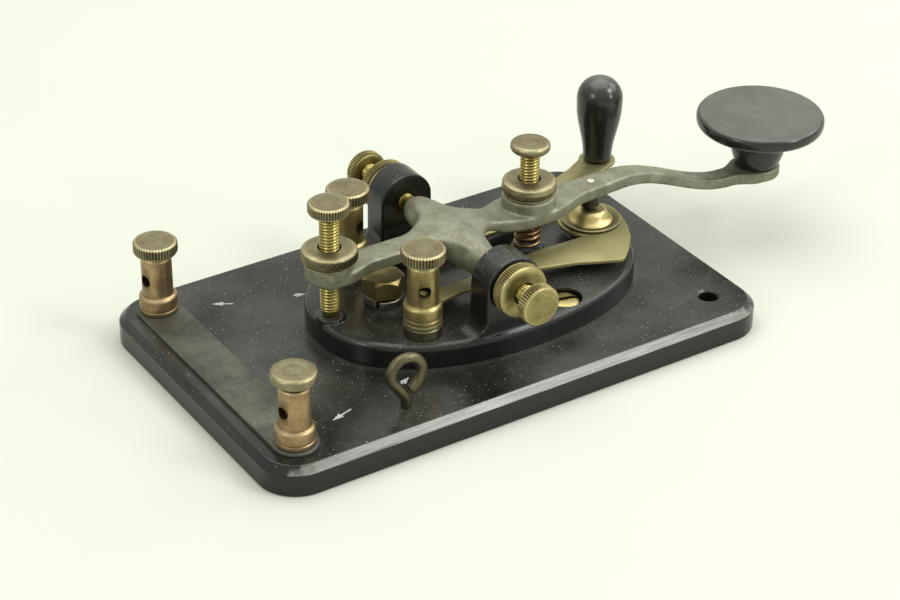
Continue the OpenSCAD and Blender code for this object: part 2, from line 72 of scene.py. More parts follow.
def low(node):
    """Lowest corner of a CAD node in millimetres."""
    return Vector(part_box(node)[0]) / MM


def high(node):
    """Highest corner of a CAD node in millimetres."""
    return Vector(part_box(node)[1]) / MM


def middle(node):
    """Middle of a CAD node's box in millimetres."""
    return (low(node) + high(node)) / 2


def ease(x, a, b):
    """Smooth step from 0 to 1 while x goes from a to b."""
    t = min(1, max(0, (x - a) / (b - a)))
    return (1 - math.cos(math.pi * t)) / 2


def polar(centre, r, degrees):
    a = math.radians(degrees)
    return (centre[0] + r * math.cos(a), centre[1] + r * math.sin(a))


def arc(centre, r, a0, a1, n):
    """Points of an arc, angles in degrees."""
    return [polar(centre, r, a0 + (a1 - a0) * i / n) for i in range(n + 1)]


# ---- camera

def make_camera():
    azimuth = math.radians(-33.503)
    elevation = math.radians(31.707)
    roll = math.radians(0.775)
    back = Vector((math.sin(azimuth) * math.cos(elevation),
                   -math.cos(azimuth) * math.cos(elevation),
                   math.sin(elevation)))
    right = Vector((0, 0, 1)).cross(back).normalized()
    up = back.cross(right)
    x_axis = right * math.cos(roll) + up * math.sin(roll)
    y_axis = up * math.cos(roll) - right * math.sin(roll)
    pose = Matrix((x_axis, y_axis, back)).transposed().to_4x4()
    pose.translation = Vector((-0.2665, -0.4072, 0.3090))
    data = bpy.data.cameras.new("camera")
    data.sensor_width = 36
    data.lens = 97.336
    data.clip_start = 0.01
    camera = bpy.data.objects.new("camera", data)
    camera.matrix_world = pose
    bpy.context.collection.objects.link(camera)
    bpy.context.scene.camera = camera


# ---- materials

class Shader:
    """A material with short calls for the nodes that the finishes need."""

    def __init__(self, name, metallic, ior=1.5):
        self.material = bpy.data.materials.new(name)
        self.material.use_nodes = True
        self.tree = self.material.node_tree
        self.tree.nodes.clear()
        self.bsdf = self.tree.nodes.new("ShaderNodeBsdfPrincipled")
        output = self.tree.nodes.new("ShaderNodeOutputMaterial")
        self.tree.links.new(self.bsdf.outputs[0], output.inputs[0])
        self.bsdf.inputs["Metallic"].default_value = metallic
        self.bsdf.inputs["IOR"].default_value = ior
        coordinates = self.tree.nodes.new("ShaderNodeTexCoord")
        self.place = self.stretched(coordinates.outputs["Object"], (1 / MM, 1 / MM, 1 / MM))

    def put(self, socket, value):
        if isinstance(value, bpy.types.NodeSocket):
            self.tree.links.new(value, socket)
        elif isinstance(value, tuple) and socket.type == "RGBA":
            socket.default_value = (*value, 1)
        else:
            socket.default_value = value

    def set(self, name, value):
        self.put(self.bsdf.inputs[name], value)

    def stretched(self, vector, factors):
        node = self.tree.nodes.new("ShaderNodeVectorMath")
        node.operation = "MULTIPLY"
        self.put(node.inputs[0], vector)
        node.inputs[1].default_value = factors
        return node.outputs[0]

    def noise(self, scale, detail=3, stretch=None, roughness=0.55):
        """Noise with scale features a millimetre."""
        node = self.tree.nodes.new("ShaderNodeTexNoise")
        self.put(node.inputs["Vector"], self.stretched(self.place, stretch) if stretch else self.place)
        node.inputs["Scale"].default_value = scale
        node.inputs["Detail"].default_value = detail
        node.inputs["Roughness"].default_value = roughness
        return node.outputs["Fac"]

    def cells(self, scale):
        """Distance to the nearest of scattered points, scale cells a millimetre."""
        node = self.tree.nodes.new("ShaderNodeTexVoronoi")
        self.put(node.inputs["Vector"], self.place)
        node.inputs["Scale"].default_value = scale
        return node.outputs["Distance"]

    def span(self, value, a, b, to_a=0.0, to_b=1.0):
        """Maps a..b to to_a..to_b, clamped."""
        node = self.tree.nodes.new("ShaderNodeMapRange")
        self.put(node.inputs["Value"], value)
        node.inputs["From Min"].default_value = a
        node.inputs["From Max"].default_value = b
        node.inputs["To Min"].default_value = to_a
        node.inputs["To Max"].default_value = to_b
        return node.outputs[0]

    def math(self, operation, a, b=0.0):
        node = self.tree.nodes.new("ShaderNodeMath")
        node.operation = operation
        node.use_clamp = True
        self.put(node.inputs[0], a)
        self.put(node.inputs[1], b)
        return node.outputs[0]

    def mix(self, factor, a, b):
        node = self.tree.nodes.new("ShaderNodeMix")
        node.data_type = "RGBA"
        self.put(node.inputs["Factor"], factor)
        self.put(node.inputs["A"], a)
        self.put(node.inputs["B"], b)
        return node.outputs["Result"]

    def wear(self):
        """The mesh's own wear value, 0 in grooves and 1 on crests."""
        node = self.tree.nodes.new("ShaderNodeAttribute")
        node.attribute_name = "wear"
        return node.outputs["Fac"]

    def facing_up(self):
        geometry = self.tree.nodes.new("ShaderNodeNewGeometry")
        split = self.tree.nodes.new("ShaderNodeSeparateXYZ")
        self.put(split.inputs[0], geometry.outputs["Normal"])
        return self.math("MAXIMUM", split.outputs["Z"], 0.0)

    def crevice(self, distance):
        """1 in the open and towards 0 in corners, distance in millimetres."""
        node = self.tree.nodes.new("ShaderNodeAmbientOcclusion")
        node.samples = 8
        node.inputs["Distance"].default_value = distance * MM
        return node.outputs["AO"]

    def bump(self, height, distance, normal=None):
        """Bump of distance millimetres."""
        node = self.tree.nodes.new("ShaderNodeBump")
        node.inputs["Strength"].default_value = 1
        node.inputs["Distance"].default_value = distance * MM
        self.put(node.inputs["Height"], height)
        if normal:
            self.put(node.inputs["Normal"], normal)
        return node.outputs[0]


def bakelite():
    """Old moulded phenolic: near black, rubbed, with a film and specks of dust, and paler streaks on the
    near chamfer that are scuffs and a painted highlight.
    """
    s = Shader("bakelite", 0.0, 1.43)
    film = s.span(s.noise(0.05, 5), 0.36, 0.66)
    grain = s.span(s.noise(2.6, 4), 0.35, 0.75)
    patches = s.span(s.noise(0.13, 3), 0.44, 0.56, 0.4, 1.0)
    specks = s.math("MULTIPLY", s.span(s.cells(1.0), 0.08, 0.15, 1.0, 0.0), patches)
    specks = s.math("MULTIPLY", specks, s.span(s.noise(1.1, 1), 0.40, 0.62))
    lint = s.math("MULTIPLY", s.span(s.cells(2.1), 0.06, 0.13, 0.7, 0.0), s.span(film, 0.0, 1.0, 0.1, 1.0))
    level = s.math("POWER", s.facing_up(), 2.0)
    settled = s.span(s.crevice(3.0), 0.35, 0.9, 0.10, 0.0)
    dust = s.math("MULTIPLY", s.math("MULTIPLY", film, s.span(grain, 0.0, 1.0, 0.4, 1.0)), 0.15)
    dust = s.math("ADD", s.math("ADD", dust, settled), s.math("MULTIPLY", lint, 0.22))
    dust = s.math("MULTIPLY", dust, level)
    colour = s.mix(dust, (0.0085, 0.0092, 0.0075), (0.34, 0.35, 0.29))
    colour = s.mix(s.math("MULTIPLY", specks, s.facing_up()), colour, (0.55, 0.55, 0.48))
    streaks = s.span(s.noise(1.8, 4, (0.045, 1.0, 1.0)), 0.3, 0.7, 0.3, 1.0)
    # paler streaks on the near chamfer: real scuffing and a painted highlight
    scuffs_and_highlight = s.math("MULTIPLY", s.span(s.wear(), 0.6, 0.9), streaks)
    colour = s.mix(s.math("MULTIPLY", scuffs_and_highlight, 0.45), colour, (0.42, 0.43, 0.38))
    s.set("Base Color", colour)
    haze = s.math("ADD", s.math("MULTIPLY", film, 0.6), s.math("MULTIPLY", grain, 0.3))
    s.set("Roughness", s.span(haze, 0.0, 1.0, 0.15, 0.34))
    scratches = s.span(s.noise(1.4, 4, (1.0, 0.06, 1.0)), 0.62, 0.72)
    ripple = s.bump(s.noise(0.35, 2), 0.025)
    s.set("Normal", s.bump(s.math("ADD", grain, scratches), 0.005, ripple))
    return s.material


def knob_plastic():
    """Glossy black phenolic of the knobs, dulled a little by handling, with a paler film on upward faces
    that is partly a painted sheen.
    """
    s = Shader("knob_plastic", 0.0, 1.50)
    film = s.span(s.noise(0.12, 5), 0.35, 0.7)
    specks = s.span(s.cells(0.9), 0.03, 0.06, 1.0, 0.0)
    specks = s.math("MULTIPLY", specks, s.span(s.noise(0.2, 2), 0.52, 0.62))
    # paler colour on upward faces: handling film and a painted sheen from the light overhead
    haze = s.math("MULTIPLY", s.span(film, 0.0, 1.0, 0.15, 0.24), s.math("POWER", s.facing_up(), 4.0))
    colour = s.mix(haze, (0.012, 0.013, 0.010), (0.38, 0.40, 0.33))
    colour = s.mix(s.math("MULTIPLY", specks, 0.5), colour, (0.45, 0.45, 0.42))
    s.set("Base Color", colour)
    s.set("Roughness", s.span(film, 0.0, 1.0, 0.19, 0.32))
    fine = s.noise(3.0, 3, (1.0, 0.2, 1.0))
    s.set("Normal", s.bump(fine, 0.002, s.bump(s.noise(0.2, 2), 0.03)))
    return s.material


def metal(name, plain, tarnish, bright, rough, groove=0.35, blotch=0.25, metallic=1.0):
    """Old metal: plain colour, tarnished blotches and pits, grime and painted shade in grooves
    and corners, specks of dust on top, and brighter where wear polishes it."""
    s = Shader(name, metallic)
    large = s.span(s.noise(blotch, 5, roughness=0.6), 0.38, 0.62)
    small = s.span(s.noise(1.6, 4), 0.35, 0.68)
    pits = s.span(s.cells(1.3), 0.07, 0.16, 1.0, 0.0)
    pits = s.math("MULTIPLY", pits, s.span(s.noise(0.5, 2), 0.5, 0.62))
    stain = s.math("ADD", s.math("MULTIPLY", large, 0.65), s.math("MULTIPLY", small, 0.35))
    colour = s.mix(stain, plain, tarnish)
    worn = s.span(s.math("MULTIPLY", s.wear(), s.span(small, 0.0, 1.0, 0.75, 1.0)), 0.62, 0.95)
    colour = s.mix(worn, colour, bright)
    # dark grooves and corners: grime and painted shade; the corner mask is ambient occlusion and also
    # darkens gaps between parts
    grooves = s.span(s.wear(), 0.0, 0.45, groove, 1.0)
    corners = s.span(s.crevice(1.2), 0.15, 0.8, 0.3, 1.0)
    dark = tuple(c * 0.2 for c in tarnish)
    colour = s.mix(s.math("MULTIPLY", grooves, corners), dark, colour)
    colour = s.mix(s.math("MULTIPLY", pits, 0.6), colour, tuple(c * 0.45 for c in tarnish))
    specks = s.span(s.cells(1.1), 0.05, 0.10, 0.8, 0.0)
    specks = s.math("MULTIPLY", specks, s.span(s.noise(0.35, 2), 0.5, 0.6))
    specks = s.math("MULTIPLY", specks, s.facing_up())
    s.set("Base Color", s.mix(specks, colour, (0.62, 0.62, 0.54)))
    wet = s.math("ADD", s.math("MULTIPLY", large, 0.5), s.math("MULTIPLY", small, 0.5))
    s.set("Roughness", s.span(wet, 0.0, 1.0, rough[0], rough[1]))
    height = s.math("SUBTRACT", s.math("MULTIPLY", small, 0.6), s.math("MULTIPLY", pits, 0.5))
    s.set("Normal", s.bump(height, 0.006, s.bump(s.noise(0.5, 2), 0.015)))
    return s.material


def paint():
    """Pale filling of the engraved marks, rubbed thin in places."""
    s = Shader("mark_paint", 0.0)
    rub = s.span(s.noise(2.5, 4), 0.38, 0.6)
    s.set("Base Color", s.mix(rub, (0.16, 0.165, 0.15), (0.50, 0.51, 0.47)))
    s.set("Roughness", s.span(rub, 0.0, 1.0, 0.5, 0.7))
    s.set("Normal", s.bump(rub, 0.004))
    return s.material


def floor_finish():
    """Pale paper-like floor."""
    s = Shader("floor", 0.0)
    s.set("Base Color", s.mix(s.noise(0.02, 3), (0.515, 0.535, 0.47), (0.525, 0.545, 0.48)))
    s.bsdf.inputs["Roughness"].default_value = 0.9
    s.bsdf.inputs["Specular IOR Level"].default_value = 0.1
    return s.material


# Plain, tarnished and worn colour, range of roughness, brightness of the grooves with
# their grime and painted shade, blotches a millimetre, metallic.
METALS = {
    "dark_strap": ((0.105, 0.11, 0.082), (0.042, 0.043, 0.032),
                   (0.22, 0.22, 0.17), (0.40, 0.60), 0.35, 0.12, 0.6),
    "coppery_brass": ((0.42, 0.30, 0.165), (0.24, 0.16, 0.08), (0.50, 0.40, 0.23), (0.34, 0.54)),
    "tarnished_brass": ((0.42, 0.345, 0.15), (0.23, 0.18, 0.07), (0.52, 0.45, 0.22), (0.32, 0.52)),
    "knurled_brass": ((0.29, 0.265, 0.155), (0.17, 0.14, 0.075), (0.50, 0.43, 0.26), (0.36, 0.54), 0.08),
    "thread_brass": ((0.42, 0.35, 0.11), (0.28, 0.22, 0.065), (0.74, 0.65, 0.25), (0.24, 0.42), 0.22),
    "pivot_brass": ((0.36, 0.31, 0.13), (0.20, 0.165, 0.065), (0.52, 0.45, 0.22), (0.34, 0.54), 0.08),
    "anvil_brass": ((0.62, 0.50, 0.22), (0.40, 0.32, 0.12), (0.75, 0.66, 0.36), (0.36, 0.54)),
    "old_brass": ((0.16, 0.145, 0.085), (0.085, 0.075, 0.045), (0.34, 0.30, 0.18), (0.34, 0.52)),
    "nickel_strap": ((0.35, 0.32, 0.155), (0.24, 0.21, 0.095),
                     (0.60, 0.57, 0.37), (0.40, 0.55), 0.35, 0.10, 0.85),
    "cast_nickel": ((0.63, 0.64, 0.50), (0.31, 0.31, 0.185),
                    (0.70, 0.71, 0.60), (0.42, 0.60), 0.35, 0.26, 0.6),
    "contact_metal": ((0.085, 0.085, 0.07), (0.05, 0.05, 0.042), (0.18, 0.18, 0.15), (0.35, 0.5)),
    "spring_bronze": ((0.36, 0.22, 0.12), (0.19, 0.115, 0.06), (0.60, 0.45, 0.28), (0.28, 0.42)),
    "dark_steel": ((0.16, 0.15, 0.11), (0.09, 0.08, 0.055), (0.28, 0.27, 0.21), (0.36, 0.55)),
}
FINISHES = {"bakelite": bakelite(), "knob_plastic": knob_plastic(), "mark_paint": paint()}
FINISHES.update({name: metal(name, *row) for name, row in METALS.items()})


# ---- mesh building

class Shape:
    """Vertices in millimetres, a wear value for each, and faces."""

    def __init__(self):
        self.points = []
        self.wear = []
        self.faces = []

    def add(self, point, wear=0.5):
        self.points.append(Vector(point))
        self.wear.append(wear)
        return len(self.points) - 1

    def ring(self, points, wear=0.5):
        return [self.add(p, wear if isinstance(wear, (int, float)) else wear[i])
                for i, p in enumerate(points)]

    def bridge(self, a, b):
        n = len(a)
        for i in range(n):
            j = (i + 1) % n
            self.faces.append((a[i], a[j], b[j], b[i]))

    def skin(self, rings):
        """Joins each ring to the next."""
        for a, b in zip(rings, rings[1:]):
            self.bridge(a, b)

    def cap(self, ring, centre=None, flip=False, wear=0.5):
        """Closes a ring with a fan about a centre, or with one face."""
        order = list(reversed(ring)) if flip else list(ring)
        if centre is None:
            self.faces.append(tuple(order))
            return
        hub = self.add(centre, wear)
        for i, v in enumerate(order):
            self.faces.append((v, order[(i + 1) % len(order)], hub))

    def join(self, other):
        start = len(self.points)
        self.points += other.points
        self.wear += other.wear
        self.faces += [tuple(v + start for v in f) for f in other.faces]
        return self

    def moved(self, matrix):
        self.points = [matrix @ p for p in self.points]
        return self

    def mesh(self, name):
        mesh = bpy.data.meshes.new(name)
        mesh.from_pydata([tuple(p * MM) for p in self.points], [], self.faces)
        layer = mesh.attributes.new("wear", "FLOAT", "POINT")
        layer.data.foreach_set("value", self.wear)
        work = bmesh.new()
        work.from_mesh(mesh)
        bmesh.ops.recalc_face_normals(work, faces=work.faces)
        work.to_mesh(mesh)
        work.free()
        return mesh


def circle(r, z, steps, centre):
    """Ring of points round a centre."""
    turns = (TAU * i / steps for i in range(steps))
    return [(centre[0] + r * math.cos(a), centre[1] + r * math.sin(a), z) for a in turns]


def tooth(phase):
    """0 on a crest and 1 in a groove, with broad crests."""
    t = abs((phase % 1) * 2 - 1)
    return min(1, max(0, t * 1.3 - 0.15))


def lathe(profile, steps=96, teeth=0, depth=0.0, lean=0.0):
    """Turned solid. profile holds (r, z, wear, knurl) rows from bottom to top;
    the knurl's teeth lean by so many teeth a millimetre of height."""
    shape = Shape()
    rows = [(*row, 0.5, 0)[:4] if len(row) == 2 else (*row, 0)[:4] for row in profile]
    rings = []
    for r, z, wear, knurl in rows:
        cuts = [tooth(i * teeth / steps + lean * z) * knurl for i in range(steps)]
        points = []
        for i, cut in enumerate(cuts):
            a = TAU * i / steps
            q = r - depth * cut
            points.append((q * math.cos(a), q * math.sin(a), z))
        rings.append(shape.ring(points, [wear * (1 - cut) for cut in cuts]))
    shape.skin(rings)
    shape.cap(rings[0], (0, 0, rows[0][1]), True, rows[0][2])
    shape.cap(rings[-1], (0, 0, rows[-1][1]), False, rows[-1][2])
    return shape


def thread(d, z0, z1, depth, chamfer=0.6):
    """Threaded rod with a helical groove and chamfered ends."""
    shape = Shape()
    steps = 36
    rows = max(8, int((z1 - z0) / THREAD_PITCH * 10))
    rings = []
    for k in range(rows + 1):
        z = z0 + (z1 - z0) * k / rows
        ends = min(1, (z - z0) / chamfer, (z1 - z) / chamfer)
        points, wear = [], []
        for i in range(steps):
            a = TAU * i / steps
            t = abs(((z / THREAD_PITCH - i / steps) % 1) * 2 - 1)
            r = d / 2 - depth * t
            r = min(r, d / 2 - 0.55 + 0.55 * ends)
            points.append((r * math.cos(a), r * math.sin(a), z))
            wear.append(max(0.05, 1 - t * 1.15))
        rings.append(shape.ring(points, wear))
    shape.skin(rings)
    shape.cap(rings[0], (0, 0, z0), True)
    shape.cap(rings[-1], (0, 0, z1))
    return shape


def tube(path, radius, sides):
    """Round wire along a path of points, with domed ends."""
    shape = Shape()
    path = [Vector(p) for p in path]
    tangents = []
    for i in range(len(path)):
        a, b = path[max(0, i - 1)], path[min(len(path) - 1, i + 1)]
        tangents.append((b - a).normalized())
    side = tangents[0].orthogonal().normalized()
    rings = []

    def section(centre, tangent, across, r, wear):
        other = tangent.cross(across)
        return shape.ring([centre + r * (math.cos(TAU * k / sides) * across
                                         + math.sin(TAU * k / sides) * other)
                           for k in range(sides)], wear)

    def dome(end, tangent, across, angles, way):
        for a in angles:
            rise = tangent * radius * math.sin(math.radians(a)) * 0.7
            r = radius * math.cos(math.radians(a))
            rings.append(section(end + way * rise, tangent, across, r, 0.8))

    for i, (p, t) in enumerate(zip(path, tangents)):
        side = (side - t * side.dot(t)).normalized()
        if i == 0:
            dome(p, t, side, (80, 60, 40, 20), -1)
        rings.append(section(p, t, side, radius, 0.5))
    dome(p, t, side, (20, 40, 60, 80), 1)
    shape.skin(rings)
    shape.cap(rings[0], flip=True)
    shape.cap(rings[-1])
    return shape


def smooth_path(points, steps):
    """Catmull-Rom curve through the points."""
    points = [Vector(p) for p in points]
    points = [2 * points[0] - points[1]] + points + [2 * points[-1] - points[-2]]
    out = []
    for i in range(1, len(points) - 2):
        a, b, c, d = points[i - 1:i + 3]
        for k in range(steps):
            t = k / steps
            out.append(0.5 * (2 * b + (c - a) * t + (2 * a - 5 * b + 4 * c - d) * t * t
                              + (3 * b - a - 3 * c + d) * t ** 3))
    out.append(points[-2])
    return out


def slab(outline, z0, z1):
    """Flat plate with one outline."""
    shape = Shape()
    bottom = shape.ring([(x, y, z0) for x, y in outline])
    top = shape.ring([(x, y, z1) for x, y in outline])
    shape.bridge(bottom, top)
    shape.cap(bottom, flip=True)
    shape.cap(top)
    return shape


def flat_with_holes(shape, loops, up):
    """Fills the area between an outer loop and hole loops of one height."""
    order = [v for loop in loops for v in loop]
    triangles = tessellate_polygon([[shape.points[v] for v in loop] for loop in loops])
    for t in triangles:
        face = tuple(order[i] for i in t)
        a, b, c = (shape.points[v] for v in face)
        is_up = (b - a).cross(c - a).z > 0
        shape.faces.append(face if is_up == up else tuple(reversed(face)))


# ---- pieces

def piece(name, shape, body, slot, nodes=(), sharp=32, modifiers=None, look=None):
    """Object from a shape, with its modifiers applied. It rides on a body, stands
    for CAD nodes, and takes the slot's finish unless a look is named."""
    obj = bpy.data.objects.new(name, shape.mesh(name))
    bpy.context.collection.objects.link(obj)
    if modifiers:
        modifiers(obj)
        apply_modifiers(obj)
    obj.data.shade_smooth()
    obj.data.set_sharp_from_angle(angle=math.radians(sharp))
    obj.data.materials.clear()
    obj.data.materials.append(FINISHES[look or slot])
    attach(obj, body)
    if nodes:
        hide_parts(*nodes)
    return obj


def apply_modifiers(obj):
    bpy.context.view_layer.update()
    evaluated = obj.evaluated_get(bpy.context.evaluated_depsgraph_get())
    mesh = bpy.data.meshes.new_from_object(evaluated)
    obj.modifiers.clear()
    obj.data = mesh


def rounded(width):
    """Bevel of the sharp edges, width in millimetres."""
    def add(obj):
        bevel = obj.modifiers.new("round", "BEVEL")
        bevel.width = width * MM
        bevel.segments = 3
        bevel.limit_method = "ANGLE"
        bevel.angle_limit = math.radians(40)
    return add


def cast(voxel, cutters=None):
    """Melts overlapping solids into one cast body with soft corners."""
    def add(obj):
        remesh = obj.modifiers.new("melt", "REMESH")
        remesh.mode = "VOXEL"
        remesh.voxel_size = voxel * MM
        soften = obj.modifiers.new("soften", "SMOOTH")
        soften.factor = 0.5
        soften.iterations = 3
        if cutters:
            cut(cutters)(obj)
    return add


def cut(shape):
    """Boolean cut by a shape."""
    def add(obj):
        cutter = bpy.data.objects.new("cutter", shape.mesh("cutter"))
        bpy.context.collection.objects.link(cutter)
        cutter.hide_render = True
        cutter.hide_viewport = True
        boolean = obj.modifiers.new("cut", "BOOLEAN")
        boolean.operation = "DIFFERENCE"
        boolean.solver = "EXACT"
        boolean.object = cutter
        apply_modifiers(obj)
        bpy.data.objects.remove(cutter)
    return add


def cylinder(r, z0, z1, steps=64):
    return lathe([(r, z0), (r, z1)], steps)


def to_place(x, y, z=0):
    return Matrix.Translation((x, y, z))


def pivot_place(side):
    """+Z of the shape points out of the ear on that side."""
    centre = middle("pivot_bushings")
    turn = Matrix.Rotation(math.radians(-90 * side), 4, "X")
    return Matrix.Translation((centre.x, 0, centre.z)) @ turn


# ---- base plate

def rounded_rectangle(length, width, r, inset, z, steps=14):
    out = []
    for k, (sx, sy) in enumerate(((1, 1), (-1, 1), (-1, -1), (1, -1))):
        centre = (sx * (length / 2 - r), sy * (width / 2 - r))
        out += [(*p, z) for p in arc(centre, r - inset, 90 * k, 90 * k + 90, steps)]
    return out


def base_plate():
    size = high("base_plate") - low("base_plate")
    top = high("base_plate").z
    corner = 9.5
    rim = [(0.5, 0), (0.15, 0.12), (0.0, 0.45), (0, top - 1.85), (0.1, top - 1.6),
           (1.6, top - 0.1), (1.85, top)]
    shape = Shape()
    rings = []
    for inset, z in rim:
        points = rounded_rectangle(size.x, size.y, corner, inset, z)
        chamfer = top - 1.7 < z < top - 0.05
        # the near long chamfer gets high wear, which the bakelite turns into scuffs and a painted highlight
        scuffed_and_lit = [0.95 if chamfer and p[1] < 2.2 - size.y / 2 else 0.5 for p in points]
        rings.append(shape.ring(points, scuffed_and_lit))
    shape.skin(rings)
    hole_y = 30.5
    hole_x = 56.3
    tops, bottoms = [rings[-1]], [rings[0]]
    for y in (-hole_y, hole_y):
        steps = [(2.9, top), (2.75, top - 0.12), (2.3, top - 0.55), (2.3, 0.2), (2.5, 0)]
        walls = [shape.ring(circle(r, z, 40, (hole_x, y))) for r, z in steps]
        shape.skin(walls)
        tops.append(walls[0])
        bottoms.append(walls[-1])
    for x, y, r in recesses():
        walls = [shape.ring(circle(r + 0.2, 0, 48, (x, y))), shape.ring(circle(r, 0.25, 48, (x, y))),
                 shape.ring(circle(r, 4.6, 48, (x, y)))]
        shape.skin(walls)
        shape.cap(walls[-1], (x, y, 4.6))
        bottoms.append(walls[0])
    flat_with_holes(shape, tops, True)
    flat_with_holes(shape, bottoms, False)
    piece("base_body", shape, "base", "bakelite", ["base_plate"], 15)


def recesses():
    """Middle and radius of each nut recess under the base plate."""
    posts = ["rear_post_near", "rear_post_far", "key_post_near", "key_post_far", "anvil"]
    out = [(middle(n).x, middle(n).y, 6.0) for n in posts]
    out += [(x, y, 6.0) for x, y in oval_screws()]
    out.append((middle("hex_bolt").x, 0, 8.0))
    return out


def marks():
    """The plain arrows by the two terminals; the words beside them are left out."""
    z = high("base_plate").z
    shape = Shape()
    for tail, tip in MARK_PLACES:
        tail, tip = Vector((*tail, 0)), Vector((*tip, 0))
        along = (tip - tail).normalized()
        across = Vector((-along.y, along.x, 0))
        neck = tip - along * 2.8
        outline = [tail + across * 0.22, neck + across * 0.22, neck + across * 0.85, tip,
                   neck - across * 0.85, neck - across * 0.22, tail - across * 0.22]
        outline = [(p.x, p.y) for p in reversed(outline)]
        shape.join(slab(outline, z - 0.05, z + 0.012))
    piece("terminal_arrows", shape, "base", None, look="mark_paint")


# ---- oval base

def oval_outline(cx, length, width, inset, z):
    """Ring of the oval, drawn in by inset."""
    steps = 120
    out = []
    for i in range(steps):
        a = TAU * i / steps
        c, s = math.cos(a), math.sin(a)
        x = (length / 2 - inset) * math.copysign(abs(c) ** (2 / OVAL_POWER), c)
        y = (width / 2 - inset) * math.copysign(abs(s) ** (2 / OVAL_POWER), s)
        out.append((cx + x, y, z))
    return out


def oval_half_width(x, cx, length, width):
    share = min(1, abs(x - cx) / (length / 2))
    return width / 2 * (1 - share ** OVAL_POWER) ** (1 / OVAL_POWER)


def ear(side, base_z, pivot, oval):
    """Upright with a round top and flared feet that stay on the oval."""
    r, flare, inner, thick = 7.0, 4.0, 19.0, 7.5
    outline = arc((0, pivot.z), r, 0, 180, 36)
    outline += [(-r, base_z + flare)]
    outline += arc((-r - flare, base_z + flare), flare, 0, -90, 8)
    outline += [(-r - flare, base_z - 1), (r + flare, base_z - 1)]
    outline += arc((r + flare, base_z + flare), flare, -90, -180, 8)
    shape = slab(outline, inner, inner + thick)
    for p in shape.points:
        p.z = min(p.z, oval_half_width(p.x + pivot.x, *oval) - 0.35)
    turn = Matrix(((1, 0, 0, pivot.x), (0, 0, side, 0), (0, 1, 0, 0), (0, 0, 0, 1)))
    return shape.moved(turn)


def oval_base():
    bottom = low("oval_base").z
    top = low("split_lock_washer").z
    length = high("oval_base").x - low("oval_base").x
    width = high("oval_base").y - low("oval_base").y
    cx = middle("oval_base").x
    pivot = middle("pivot_bushings")
    shape = Shape()
    rim = [(0, bottom), (0, top - 1.3), (0.12, top - 0.75), (0.4, top - 0.3), (0.9, top - 0.05),
           (1.4, top)]
    rings = [shape.ring(oval_outline(cx, length, width, i, z)) for i, z in rim]
    shape.skin(rings)
    shape.cap(rings[0], (cx, 0, bottom), True)
    shape.cap(rings[-1], (cx, 0, top))
    for side in (-1, 1):
        shape.join(ear(side, top, pivot, (cx, length, width)))
    seat = low("spring").z
    shape.join(cylinder(3.3, top - 1, top + 1.15).moved(to_place(middle("gap_screw_stem").x, 0)))
    shape.join(cylinder(4.1, top - 1, seat - 0.02).moved(to_place(middle("spring").x, 0)))
    shape.join(cylinder(5.5, top - 1, low("contact_strap").z - 0.03).moved(to_place(middle("anvil").x, 0)))
    holes = Shape()
    for side, (x, y) in zip((-1, 1), oval_screws()):
        holes.join(cylinder(4.2, 11, 20).moved(to_place(x, y)))
        holes.join(cylinder(3.85, 18.5, 27).moved(pivot_place(side)))
    piece("oval_body", shape, "base", "bakelite", ["oval_base"], 40, cast(0.36, holes))


# ---- binding posts

def post_shape():
    """Post with a collared foot, in heights above its seat."""
    foot = 4.45
    rows = [(4.2, 0, 0.6), (4.42, 0.15, 0.9), (4.45, 0.4, 0.9), (4.45, 0.95, 0.7), (4.3, 1.1, 0.2),
            (4.3, 1.25, 0.2), (4.45, 1.4, 0.7), (4.45, 3.6, 0.6), (4.38, 4.0, 0.9), (4.1, 4.35, 0.9),
            (3.75, foot + 0.1, 0.4), (3.62, foot + 0.3, 0.1), (3.6, 5.2, 0.5), (3.6, 9, 0.5),
            (3.6, 13.6, 0.55), (3.52, 14.1, 0.9), (3.3, 14.4, 0.9), (2.9, POST_HEIGHT, 0.6),
            (2.3, POST_HEIGHT, 0.3),
            (2.15, 14.2, 0.1)]
    return lathe(rows, 72)


def binding_post(name, angle, finish):
    box_low, box_high = low(name), high(name)
    place = middle(name)
    seat = box_high.z - POST_HEIGHT
    wire = cylinder(1.45, -6, 6, 40)
    wire.moved(Matrix.Rotation(math.radians(90), 4, "Y"))
    wire.moved(Matrix.Translation((0, 0, 8.8)) @ Matrix.Rotation(math.radians(angle), 4, "Z"))
    stud = thread(4.0, box_low.z - seat, 0.5, 0.25)

    bore = cylinder(2.2, 6.3, 16, 48)

    def drill(obj):
        cut(wire)(obj)
        cut(bore)(obj)

    shape = post_shape()
    obj = piece(name + "_body", shape, "base", finish, [name], 32, drill)
    obj.data.transform(Matrix.Translation(Vector((place.x, place.y, seat)) * MM))
    piece(name + "_stud", stud.moved(to_place(place.x, place.y, seat)), "base", "thread_brass")


def head_rows(r, t):
    """Knurled head from its underside: plain lip, knurled band, chamfer, flat top."""
    rows = [(r - 1.6, 0, 0.3, 0), (r - 0.6, 0.02, 0.5, 0), (r - 0.3, 0.2, 1.0, 0),
            (r - 0.3, 0.42, 0.9, 0), (r - 0.36, 0.5, 0.2, 0)]
    for k in range(6):
        rows.append((r, 0.56 + (t - 0.92) * k / 5, 0.8, 1))
    rows += [(r - 0.14, t - 0.3, 0.95, 0.3), (r - 0.5, t - 0.03, 1.0, 0), (r - 0.75, t, 0.85, 0),
             (r - 0.95, t - 0.03, 0.4, 0), (r - 1.4, t - 0.04, 0.55, 0), (r * 0.62, t - 0.03, 0.5, 0),
             (r * 0.5, t - 0.06, 0.35, 0), (r * 0.4, t - 0.02, 0.6, 0)]
    return rows


